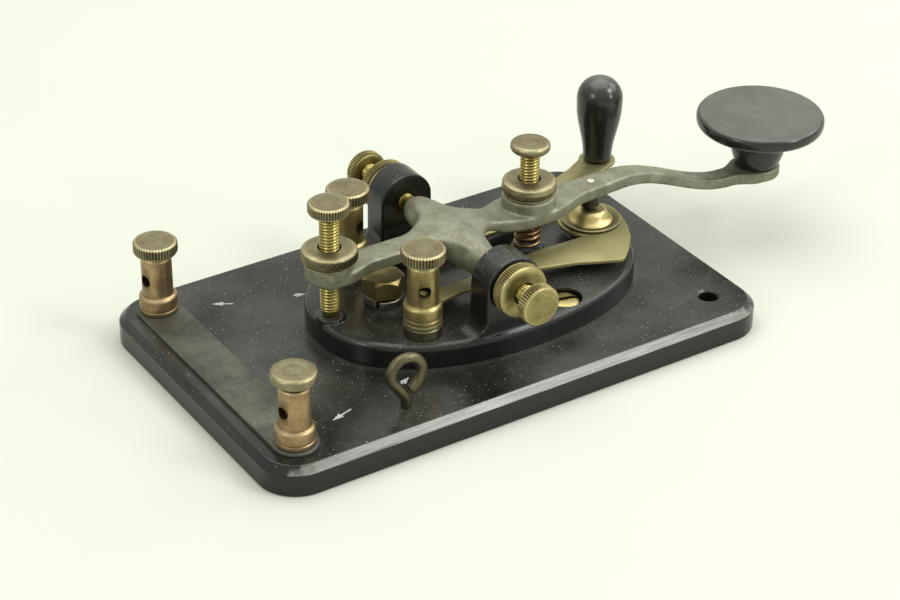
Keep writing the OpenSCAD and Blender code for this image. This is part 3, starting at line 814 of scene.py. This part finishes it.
def smooth_head_rows(r, t):
    """Plain head from its underside: short taper, round-edged rim, flat top."""
    return [(r - 2.2, 0, 0.3), (r - 1.3, 0.1, 0.5), (r - 0.5, 0.42, 0.6), (r - 0.12, 0.8, 0.8),
            (r, 1.15, 0.7), (r, t - 0.75, 0.7), (r - 0.14, t - 0.38, 0.85), (r - 0.5, t - 0.08, 0.8),
            (r - 1.0, t, 0.55), (r * 0.5, t - 0.01, 0.5), (r * 0.42, t - 0.05, 0.35), (r * 0.3, t, 0.5)]


def turned_head(node, teeth):
    """Screw head of a node's size; a head without teeth is smooth."""
    extent = high(node) - low(node)
    r, t = max(extent) / 2, min(extent)
    if teeth:
        return lathe(head_rows(r, t), teeth * 6, teeth, 0.26)
    return lathe(smooth_head_rows(r, t), 96)


def thumb_screw(name, body, slot, teeth):
    place = middle(name)
    shape = turned_head(name, teeth).moved(to_place(place.x, place.y, low(name).z))
    piece(name + "_turned", shape, body, slot, [name], 32, look="knurled_brass")


def thumb_stem(name, body):
    place = middle(name)
    shape = thread(4.0, low(name).z, high(name).z, 0.25)
    piece(name + "_thread", shape.moved(to_place(place.x, place.y)), body, "thread_brass", [name], 50)


def post_spacers():
    shape = Shape()
    base_z, top_z = low("post_spacers").z, high("post_spacers").z
    r = 4.55
    for node in ("key_post_near", "key_post_far"):
        rows = [(r - 0.25, base_z + 0.02, 0.5), (r, base_z + 0.3, 0.6), (r, top_z - 0.35, 0.4),
                (r - 0.3, top_z - 0.05, 0.5)]
        shape.join(lathe(rows, 72).moved(to_place(middle(node).x, middle(node).y)))
    piece("spacer_rings", shape, "base", "tarnished_brass", ["post_spacers"], 32, look="old_brass")


def rear_strap():
    a, b = middle("rear_post_near"), middle("rear_post_far")
    r = 5.3
    outline = arc((b.x, b.y), r, 0, 180, 24) + arc((a.x, a.y), r, 180, 360, 24)
    shape = slab(outline, low("rear_strap").z + 0.02, high("rear_strap").z)
    piece("rear_strip", shape, "base", "dark_strap", ["rear_strap"], 32, rounded(0.3))


# ---- straps and contacts

def contact_strap():
    post, pad = middle("key_post_near"), middle("anvil")
    outline = arc((post.x, post.y), 4.4, 102, 380, 30)
    outline += [(-9.6, -13), (-1.4, -11.3), (20.5, -12.2), (29.3, -14.9), (37.8, -18.8)]
    outline += [(38.8, -19.1), (39.6, -18.95), (40.5, -18.4), (43.9, -15.1), (47, -11.5), (49.2, -7.5)]
    outline += arc((pad.x, pad.y), 8, -24, 224, 40)
    outline += [(33.5, -5.5), (25, -5.1), (14, -6), (3.2, -7), (-5.2, -6.9), (-11, -9)]
    shape = slab(outline, low("contact_strap").z, high("contact_strap").z)
    piece("contact_strip", shape, "base", "nickel_strap", ["contact_strap"], 32, rounded(0.22))


def closer_arm():
    post, knob = middle("key_post_far"), middle("closer_knob")
    outline = [(-11, 12.4), (-5.2, 9.2), (3.2, 7.4), (25, 7.2)]
    outline += arc((knob.x, knob.y), 4.6, -70, 150, 24)
    outline += [(54.2, 23.9), (48.6, 21.7), (40, 18.4), (31, 15.8), (22, 14.2), (-1.4, 14.6), (-9.6, 17)]
    outline += arc((post.x, post.y), 5, 10, 290, 30)
    shape = slab(outline, low("closer_arm").z, high("closer_arm").z)
    piece("closer_blade", shape, "closer", "nickel_strap", ["closer_arm"], 32, rounded(0.22))


def closer_knob():
    foot, top = low("closer_knob").z, high("closer_knob").z
    place = middle("closer_knob")
    rows = [(3.0, foot, 0.5), (3.2, foot + 0.25, 0.5), (3.45, foot + 0.5, 0.5)]
    for i in range(1, 17):
        rows.append((3.6 + 2.15 * ease(i, 0, 18.3), foot + 0.6 + i * 0.83, 0.5))
    centre_z = top - 5.75
    for a in range(0, 90, 7):
        rows.append((5.75 * math.cos(math.radians(a)), centre_z + 5.75 * math.sin(math.radians(a)), 0.5))
    rows = sorted(rows, key=lambda row: row[1])
    shape = lathe(rows, 96).moved(to_place(place.x, place.y))
    piece("closer_grip", shape, "closer", "knob_plastic", ["closer_knob"], 40)


def anvil():
    place = middle("anvil")
    z = low("anvil_washer").z
    top = high("anvil").z
    # the wear values keep the cup's rim bright and darken its inside as painted shade
    cup = [(6.0, z + 0.01, 0.6), (6.8, z + 0.05, 0.8), (7.05, z + 0.35, 1.0), (7.2, z + 0.66, 1.0),
           (7.15, z + 0.78, 1.0), (7.0, z + 0.76, 0.9), (6.75, z + 0.45, 0.3), (5.6, z + 0.34, 0.1)]
    piece("anvil_cup", lathe(cup, 96).moved(to_place(place.x, 0)), "base", "tarnished_brass",
          ["anvil_washer"], 40, look="nickel_strap")
    base = z + 0.3
    rise = top - base
    bell = [(5.3, 0.0), (5.4, 0.06), (5.2, 0.15), (4.75, 0.24), (4.35, 0.36), (4.1, 0.54),
            (3.9, 0.72), (3.65, 0.86), (3.25, 0.96), (2.8, 1.0)]
    rows = [(r, base + rise * h, 0.55 + 0.35 * h) for r, h in bell]
    dome = lathe(rows, 96)
    dome.join(thread(4.0, low("anvil").z, base + 0.2, 0.25))
    piece("anvil_dome", dome.moved(to_place(place.x, 0)), "base", "tarnished_brass", ["anvil"], 40,
          look="anvil_brass")


def upper_contact():
    place = middle("upper_contact")
    z, top = low("upper_contact").z, high("upper_contact").z
    under = top - 0.9 - LEVER_THICK
    rows = [(1.75, z, 0.9), (1.95, z + 0.12, 0.9), (2.42, z + 0.75, 0.7), (2.475, z + 0.95, 0.6),
            (2.475, under + 0.6, 0.5)]
    piece("contact_button", lathe(rows, 64).moved(to_place(place.x, 0)), "lever", "contact_metal",
          ["upper_contact"], 40)
    head = lathe([(1.0, top - 1.4, 0.3), (0.98, top - 0.8, 0.5), (0.85, top - 0.6, 0.9),
                  (0.6, top - 0.5, 0.9), (0.3, top - 0.47, 0.9)], 48)
    piece("contact_rivet", head.moved(to_place(place.x, 0)), "lever", "contact_metal",
          look="cast_nickel")


# ---- fasteners

def oval_screws():
    """Places of the two screws that hold the oval, near one first."""
    x, reach = middle("sub_base_screws").x, high("sub_base_screws").y - OVAL_SCREW_R
    return (x, -reach), (x, reach)


def sub_base_screws():
    bottom, z = low("sub_base_screws").z, high("sub_base_screws").z
    slots, heads, studs = Shape(), Shape(), Shape()
    rows = [(3.3, z - 1.9, 0.2), (3.65, z - 1.7, 0.5), (OVAL_SCREW_R, z - 1.2, 0.6), (3.55, z - 0.7, 0.9),
            (3.1, z - 0.35, 0.9), (2.4, z - 0.12, 0.8), (1.2, z, 0.7)]
    for x, y in oval_screws():
        spot = to_place(x, y)
        heads.join(lathe(rows, 64).moved(spot))
        groove = slab([(-5, -0.55), (5, -0.55), (5, 0.55), (-5, 0.55)], z - 1.05, z + 1)
        slots.join(groove.moved(spot @ Matrix.Rotation(math.radians(-12), 4, "Z")))
        studs.join(thread(4.0, bottom, z - 1.5, 0.25).moved(spot))
    piece("oval_screw_heads", heads, "base", "tarnished_brass", ["sub_base_screws"], 32, cut(slots))
    piece("oval_screw_studs", studs, "base", "thread_brass")


def nut_rows(r, t, lip, band):
    """Lock nut from its underside: thin bright lip, knurled band, plain shoulder,
    gently conical top with a recess round the stem darkened as painted shade."""
    rows = [(r - 0.55, 0.0, 0.8, 0), (r - 0.32, 0.12, 1.0, 0), (r - 0.3, lip - 0.25, 1.0, 0),
            (r - 0.62, lip - 0.05, 0.1, 0), (r - 0.55, lip + 0.08, 0.2, 0), (r - 0.2, lip + 0.16, 0.8, 0)]
    for k in range(9):
        rows.append((r, lip + 0.22 + (band - lip - 0.22) * k / 8, 0.75, 1))
    rows += [(r - 0.08, band + 0.1, 0.85, 0), (r - 0.1, t - 0.85, 0.75, 0), (r - 0.25, t - 0.5, 0.9, 0),
             (r - 0.7, t - 0.24, 0.9, 0), (r - 2.0, t - 0.1, 0.55, 0), (3.1, t - 0.02, 0.65, 0),
             (2.85, t, 0.9, 0), (2.5, t - 0.5, 0.0, 0)]
    return rows


def lock_nut(name, body, place, teeth, depth, lean=0.0, band=0.76, look=None):
    extent = high(name) - low(name)
    t = min(extent)
    r = max(extent) / 2
    shape = lathe(nut_rows(r, t, 0.75, band * t), teeth * 5, teeth, depth, lean)
    piece(name + "_turned", shape.moved(place), body, "knurled_brass", [name], 35, look=look)


def adjuster_head(name, body, place, teeth=46, look=None):
    shape = turned_head(name, teeth).moved(place)
    piece(name + "_turned", shape, body, "knurled_brass", [name], 35, look=look)


def split_washer():
    """Coiled lock washer, open where its ends part."""
    place = middle("split_lock_washer")
    z0, z1 = low("split_lock_washer").z, high("split_lock_washer").z
    t = 0.5 * (z1 - z0)
    shape = Shape()
    rings = []
    steps = 60
    start, sweep = 227, 350
    for i in range(steps + 1):
        f = i / steps
        a = math.radians(start + sweep * f)
        z = z0 + 0.02 + (z1 - z0 - t * 1.55) * f
        section = []
        for r, dz in ((2.75, 0.1), (2.75, t * 1.4), (2.9, t * 1.5), (4.4, t * 1.5), (4.6, t * 1.35),
                      (4.6, 0.15), (4.4, 0), (2.9, 0)):
            section.append((r * math.cos(a), r * math.sin(a), z + dz))
        rings.append(shape.ring(section, [0.3, 0.4, 0.8, 0.9, 0.9, 0.8, 0.6, 0.3]))
    shape.skin(rings)
    shape.cap(rings[0], flip=True)
    shape.cap(rings[-1])
    piece("lock_washer_coil", shape.moved(to_place(place.x, 0)), "base", "dark_steel",
          ["split_lock_washer"], 40)


# ---- screws, spring

def adjusting_screws():
    place = to_place(middle("gap_lock_nut").x, 0, low("gap_lock_nut").z)
    lock_nut("gap_lock_nut", "gap_nut", place, 58, 0.36, lean=0.75)
    place = to_place(middle("spring_lock_nut").x, 0, low("spring_lock_nut").z)
    lock_nut("spring_lock_nut", "spring_nut", place, 84, 0.16, band=0.5)
    for name, teeth in (("gap_screw_head", 46), ("spring_screw_head", 0)):
        adjuster_head(name, name, to_place(middle(name).x, 0, low(name).z), teeth)
    z0, z1 = low("gap_screw_stem").z, high("gap_screw_stem").z
    gap = thread(4.7, z0, z1, 0.3, 1.9)
    piece("gap_screw_thread", gap.moved(to_place(middle("gap_screw_stem").x, 0)), "gap_screw_stem",
          "thread_brass", ["gap_screw_stem"], 50)
    z0, z1 = low("spring_screw_stem").z, high("spring_screw_stem").z
    stem = thread(4.7, z0 + 3.1, z1, 0.3)
    stem.join(lathe([(1.1, z0, 0.8), (1.45, z0 + 0.4, 0.6), (1.45, z0 + 3.4, 0.5)], 40))
    piece("spring_screw_thread", stem.moved(to_place(middle("spring_screw_stem").x, 0)),
          "spring_screw_stem", "thread_brass", ["spring_screw_stem"], 50)


def pivot_screws():
    for side, name in ((-1, "near"), (1, "far")):
        place = pivot_place(side)
        nut = "pivot_lock_nut_" + name
        nut_y = min(abs(low(nut).y), abs(high(nut).y))
        lock_nut(nut, f"pivot_{name}_nut", place @ to_place(0, 0, nut_y), 72, 0.24,
                 look="pivot_brass")
        head = "pivot_screw_head_" + name
        head_y = min(abs(low(head).y), abs(high(head).y))
        adjuster_head(head, f"pivot_{name}_screw_head", place @ to_place(0, 0, head_y),
                      look="pivot_brass")
        stem = "pivot_screw_stem_" + name
        ends = sorted((abs(low(stem).y), abs(high(stem).y)))
        shape = thread(4.7, ends[0] + 4.0, ends[1], 0.3)
        shape.join(lathe([(0.5, ends[0], 0.6), (1.45, ends[0] + 1.3, 0.6), (1.45, ends[0] + 4.4, 0.5)], 40))
        piece(stem + "_thread", shape.moved(place), f"pivot_{name}_screw_stem", "thread_brass", [stem], 50)


def spring():
    """Conical compression spring with closed ends."""
    place = middle("spring")
    z0, z1 = low("spring").z, high("spring").z
    wire = 1.0
    turns = 5
    steps = turns * 28
    path = []
    for i in range(steps + 1):
        t = i / steps
        rise = (ease(t, 0, 0.5) + ease(t, 0.5, 1)) / 2 * 0.35 + t * 0.65
        a = TAU * turns * t
        r = 3 - 0.6 * t
        path.append((r * math.cos(a), r * math.sin(a), z0 + wire / 2 + (z1 - z0 - wire) * rise))
    shape = tube(path, wire / 2, 14).moved(to_place(place.x, 0))
    for i, p in enumerate(shape.points):
        out = math.hypot(p.x - place.x, p.y)
        shape.wear[i] = 0.35 + 0.6 * ease(out, 2.9, 3.5)
    obj = piece("spring_coil", shape, "base", "spring_bronze", ["spring"], 60)
    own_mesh(obj)


def eye_hook():
    box_low = low("eye_hook")
    foot_x, foot_y = -29.5, -32.2
    plane = Matrix.Translation((foot_x, foot_y, 0)) @ Matrix.Rotation(math.radians(-4), 4, "Z")
    knots = [(0, box_low.z), (0, 6.0), (0, 8.6), (-0.45, 10.2), (-1.7, 12.2)]
    ring = arc((0.1, 16.2), 3.8, 205, -12, 18)
    tail = [(3.3, 13.8), (2.45, 12.5), (1.6, 11.6)]
    knots = [(u, 0, z) for u, z in knots + ring + tail]
    shape = tube(smooth_path(knots, 6), 1.25, 20).moved(plane)
    piece("eye_wire", shape, "base", "tarnished_brass", ["eye_hook"], 60, look="old_brass")


# ---- lever

def arm_top(x):
    """Height of the lever's upper side."""
    hub = 1.5 * (ease(x, -10, -2) - ease(x, 9, 16))
    return 27 + 0.8 * ease(x, 30, 50) + hub - 9.8 * ease(x, 50.5, 85.5)


def arm_half_width(x, gap_x, spring_x, tab_x, hub_x):
    """Half the width of the lever's arms, flared towards hub, bosses and tab."""
    half = 2.5 + 0.9 * (ease(x, gap_x + 5, gap_x + 11) - ease(x, spring_x + 18, spring_x + 38))
    for centre, reach, extra in ((gap_x, 11, 3.0), (spring_x, 15, 3.0), (tab_x, 9.5, 2.8)):
        half += extra * (1 - ease(abs(x - centre), 2.5, reach))
    blend = 8.5
    away = abs(x - hub_x) - 3.2
    if away < blend:
        half += blend - math.sqrt(max(0, blend ** 2 - (blend - max(0, away)) ** 2))
    return half


def lever():
    hub = middle("pivot_bushings")
    gap_x, spring_x = middle("gap_screw_stem").x, middle("spring_screw_stem").x
    tab_x = middle("operating_knob").x
    x0, x1 = gap_x - 3, tab_x + 1
    shape = Shape()
    rings = []
    steps = 150
    for i in range(steps + 1):
        x = x0 + (x1 - x0) * i / steps
        half = arm_half_width(x, gap_x, spring_x, tab_x, hub.x)
        top = arm_top(x)
        section = []
        for k in range(32):
            c, s = math.cos(TAU * k / 32), math.sin(TAU * k / 32)
            y = half * math.copysign(abs(c) ** 0.2, c)
            z = top - LEVER_THICK / 2 + LEVER_THICK / 2 * math.copysign(abs(s) ** 0.2, s)
            section.append((x, y, z))
        rings.append(shape.ring(section))
    shape.skin(rings)
    shape.cap(rings[0], (x0, 0, arm_top(x0) - LEVER_THICK / 2))
    shape.cap(rings[-1], (x1, 0, arm_top(x1) - LEVER_THICK / 2))
    shape.join(trunnion(hub))
    shape.join(boss(5.7, 24.0, 28.3).moved(to_place(gap_x, 0)))
    shape.join(boss(6.5, 25.5, 30.0).moved(to_place(spring_x, 0)))
    tab_top = low("operating_knob").z
    shape.join(boss(5.9, tab_top - 2.9, tab_top - 0.02).moved(to_place(tab_x, 0)))

    def melt(obj):
        cast(0.28)(obj)
        apply_modifiers(obj)
        melt_hub(obj, hub)

    piece("lever_casting", shape, "lever", "cast_nickel", ["lever"], 50, melt)


def melt_hub(obj, hub):
    """Smooths the place where the four arms meet much more than the rest."""
    group = obj.vertex_groups.new(name="hub")
    for v in obj.data.vertices:
        away = math.hypot(v.co.x / MM - hub.x, v.co.y / MM)
        weight = 1 - ease(away, 9, 14)
        if weight > 0:
            group.add([v.index], weight, "REPLACE")
    soften = obj.modifiers.new("soften_hub", "SMOOTH")
    soften.factor = 0.5
    soften.iterations = 90
    soften.vertex_group = "hub"


def trunnion(hub):
    """Cross shaft with domed ends, swollen towards the middle."""
    rows = []
    reach = 17.8
    for i in range(41):
        v = -1 + 2 * i / 40
        y = reach * v
        r = 4.3 - 0.35 * ease(abs(y), 8, 17)
        body = r * math.sqrt(max(0.0, 1 - abs(v) ** 7)) + 0.6 * (1 - ease(abs(y), 2, 12))
        rows.append((max(0.15, body), y))
    turn = Matrix.Translation((hub.x, 0, hub.z)) @ Matrix.Rotation(math.radians(90), 4, "X")
    return lathe(rows, 48).moved(turn)


def boss(r, z0, z1):
    return lathe([(r - 0.45, z0), (r, z0 + 0.45), (r, z1 - 0.45), (r - 0.45, z1)], 72)


def operating_knob():
    place = middle("operating_knob")
    foot, top = low("operating_knob").z, high("operating_knob").z
    r = (high("operating_knob").x - low("operating_knob").x) / 2
    under_r = 1.6
    edge_r = 1.25
    rows = [(5.0, foot), (5.4, foot + 0.15), (5.9, foot + 1.4), (6.5, foot + 3.2), (6.9, foot + 4.9),
            (7.2, foot + 7.0)]
    reach, rise = r - under_r - 1.1 - 7.2, top - 2.0 - under_r - foot - 7.0
    for i in range(1, 13):
        a = math.radians(7.5 * i)
        rows.append((7.2 + reach * (1 - math.cos(a)), foot + 7.0 + rise * math.sin(a)))
    rows += arc((r - under_r, top - 2.0), under_r, -75, 0, 10)
    rows += arc((r - edge_r, top - edge_r), edge_r, 0, 84, 8)
    rows += [(r - edge_r - 0.5, top - 0.005), (r - 4, top), (r / 2, top), (2, top)]
    piece("key_knob", lathe(rows, 128).moved(to_place(place.x, 0)), "lever", "knob_plastic",
          ["operating_knob"], 40)


# ---- carried-over nodes

def paint_cad_nodes():
    """The CAD nodes that stay get their finish in their own slots."""
    slots = {row["node"]: row["material_slot"] for row in frame["record"]["subparts"]}
    for name, obj in frame["nodes"].items():
        if obj.hide_render:
            continue
        look = {"pivot_bushings": "old_brass", "hex_bolt": "anvil_brass"}.get(name, slots[name])
        for slot in obj.material_slots:
            slot.material = FINISHES[look]


# ---- stage

def area_light(name, place, size, power, colour=(1, 1, 1)):
    data = bpy.data.lights.new(name, "AREA")
    data.shape = "RECTANGLE"
    data.size, data.size_y = size
    data.energy = power
    data.color = colour
    light = bpy.data.objects.new(name, data)
    light.location = place
    aim = Vector((0.01, 0, 0.01)) - Vector(place)
    light.rotation_euler = aim.to_track_quat("-Z", "Y").to_euler()
    bpy.context.collection.objects.link(light)


def stage():
    shape = Shape()
    half = 2500
    shape.ring([(-half, -half, 0), (half, -half, 0), (half, half, 0), (-half, half, 0)])
    shape.faces.append((0, 1, 2, 3))
    obj = bpy.data.objects.new("floor", shape.mesh("floor"))
    obj.data.materials.append(floor_finish())
    bpy.context.collection.objects.link(obj)
    studio_sky()
    area_light("softbox_top", (0.1, 0.3, 1.4), (1.8, 1.5), 18, (1.0, 1.0, 0.97))
    area_light("softbox_right", (1.1, -0.2, 0.8), (0.8, 0.6), 5)
    area_light("softbox_front", (0.60, -0.66, 0.88), (0.36, 0.36), 4.8)
    area_light("lamp_right", (0.56, -0.98, 0.47), (0.22, 0.22), 1.9)
    area_light("lamp_left", (-1.01, -0.19, 0.58), (0.22, 0.22), 1.9)


def studio_sky():
    """Even pale surroundings, brighter overhead than at the horizon."""
    world = bpy.data.worlds.new("studio")
    world.use_nodes = True
    tree = world.node_tree
    sky = tree.nodes["Background"]
    coordinates = tree.nodes.new("ShaderNodeTexCoord")
    split = tree.nodes.new("ShaderNodeSeparateXYZ")
    ramp = tree.nodes.new("ShaderNodeMapRange")
    ramp.inputs["From Min"].default_value = 0.0
    ramp.inputs["From Max"].default_value = 0.7
    ramp.inputs["To Min"].default_value = 0.70
    ramp.inputs["To Max"].default_value = 0.85
    tree.links.new(coordinates.outputs["Generated"], split.inputs[0])
    tree.links.new(split.outputs["Z"], ramp.inputs["Value"])
    tree.links.new(ramp.outputs[0], sky.inputs["Strength"])
    sky.inputs["Color"].default_value = (0.98, 1.0, 0.93, 1)
    bpy.context.scene.world = world
    bpy.context.scene.view_settings.view_transform = "Standard"


# ---- main

POSTS = [("rear", "near", 12, "coppery_brass"), ("rear", "far", 12, "coppery_brass"),
         ("key", "near", 64, "tarnished_brass"), ("key", "far", -64, "tarnished_brass")]
SMOOTH_HEAD = "rear_thumb_head_near"
MARK_PLACES = [((-40.9, 25.8), (-45.4, 28.4)), ((-27.2, 21.5), (-23.9, 20.5)),
               ((-40.2, -26.5), (-45.9, -28.2)), ((-27.2, -24.8), (-22.6, -22.5))]

make_camera()
stage()
base_plate()
marks()
oval_base()
for row, side, angle, finish in POSTS:
    binding_post(f"{row}_post_{side}", angle, finish)
for row, side, angle, finish in POSTS:
    head = f"{row}_thumb_head_{side}"
    slot = "coppery_brass" if row == "rear" else "knurled_brass"
    thumb_screw(head, f"{row}_{side}_thumb_head", slot, 0 if head == SMOOTH_HEAD else 44)
    thumb_stem(f"{row}_thumb_stem_{side}", f"{row}_{side}_thumb_stem")
post_spacers()
rear_strap()
contact_strap()
closer_arm()
closer_knob()
anvil()
upper_contact()
sub_base_screws()
split_washer()
adjusting_screws()
pivot_screws()
spring()
eye_hook()
lever()
operating_knob()
paint_cad_nodes()
